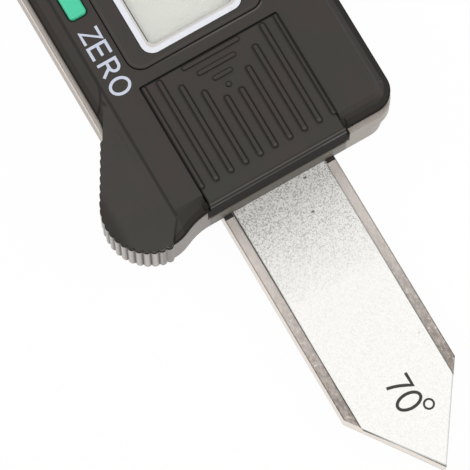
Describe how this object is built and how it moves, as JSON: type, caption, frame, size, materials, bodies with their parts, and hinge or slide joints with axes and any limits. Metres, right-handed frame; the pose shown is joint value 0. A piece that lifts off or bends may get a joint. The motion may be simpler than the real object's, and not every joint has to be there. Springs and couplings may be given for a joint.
{
  "type": "digital weld gauge",
  "caption": "Sliding display head on a flat steel beam with angled points, for measuring welds and bevels; ribbed battery cover and knurled thumb rest.",
  "frame": {"origin": "middle of the back plate's outer face, on the beam's centre line, under the middle of the display head", "axes": "+X along the beam towards its 70 degree point, +Y across the head away from the thumb rest, +Z out of the display"},
  "size_m": [0.173, 0.0634, 0.0145],
  "materials": {
    "ground_steel": "ground, satin",
    "circuit_strip": "matte circuit laminate",
    "silver_film": "matte silver film with fine speckle",
    "rod_steel": "ground",
    "rivet_steel": "bright",
    "frame_metal": "satin",
    "plate_steel": "brushed",
    "screw_steel": "bright",
    "gib_brass": "plain",
    "knurled_steel": "knurled",
    "housing_plastic": "dark warm grey, fine texture",
    "cover_plastic": "dark warm grey, fine texture",
    "bezel_plastic": "dark warm grey",
    "trim_plastic": "pale silver print",
    "clear_window": "clear",
    "display_glass": "pale grey green",
    "connector_rubber": "striped rubber",
    "turquoise_key": "turquoise",
    "orange_key": "orange",
    "yellow_key": "yellow",
    "dome_steel": "bright",
    "board_laminate": "green solder mask",
    "chip_resin": "black resin",
    "capacitor_ceramic": "tan ceramic",
    "cell_steel": "bright nickel",
    "contact_steel": "spring steel"
  },
  "bodies": {
    "beam": {"gauge_beam": "ground_steel", "scale_strip": "circuit_strip", "scale_label": "silver_film"},
    "slider": {"slider_frame": "frame_metal", "front_housing": "housing_plastic", "housing_screws": "screw_steel", "back_plate": "plate_steel", "back_plate_screws": "screw_steel", "gib_strip": "gib_brass", "gib_screws": "screw_steel", "depth_rod": "rod_steel", "rod_rivet": "rivet_steel", "circuit_board": "board_laminate", "sensor_chip": "chip_resin", "capacitors": "capacitor_ceramic", "board_screws": "screw_steel", "display_bezel": "bezel_plastic", "display_trim": "trim_plastic", "display_lens": "clear_window", "lcd_glass": "display_glass", "zebra_connectors": "connector_rubber", "contact_domes": "dome_steel", "battery_cell": "cell_steel", "battery_contact_minus": "contact_steel", "battery_contact_plus": "contact_steel"},
    "zero_button": {"zero_button": "turquoise_key"},
    "power_button": {"power_button": "orange_key"},
    "unit_button": {"unit_button": "yellow_key"},
    "battery_cover": {"battery_cover": "cover_plastic"},
    "lock_screw": {"lock_screw": "knurled_steel"}
  },
  "joints": [
    {"name": "head_slide", "type": "slide", "parent": "beam", "child": "slider", "axis": [-1, 0, 0], "range_m": [0, 0.02]},
    {"name": "cover_slide", "type": "slide", "parent": "slider", "child": "battery_cover", "axis": [1, 0, 0], "range_m": [0, 0.02]},
    {"name": "lock_turn", "type": "hinge", "parent": "slider", "child": "lock_screw", "pos_m": [0, 0.0165, 0.00295], "axis": [0, 1, 0], "range_deg": [0, 270]},
    {"name": "zero_button_press", "type": "slide", "parent": "slider", "child": "zero_button", "axis": [0, 0, -1], "range_m": [0, 0.0004], "stiffness_N_per_m": 1500},
    {"name": "power_button_press", "type": "slide", "parent": "slider", "child": "power_button", "axis": [0, 0, -1], "range_m": [0, 0.0004], "stiffness_N_per_m": 1500},
    {"name": "unit_button_press", "type": "slide", "parent": "slider", "child": "unit_button", "axis": [0, 0, -1], "range_m": [0, 0.0004], "stiffness_N_per_m": 1500}
  ]
}
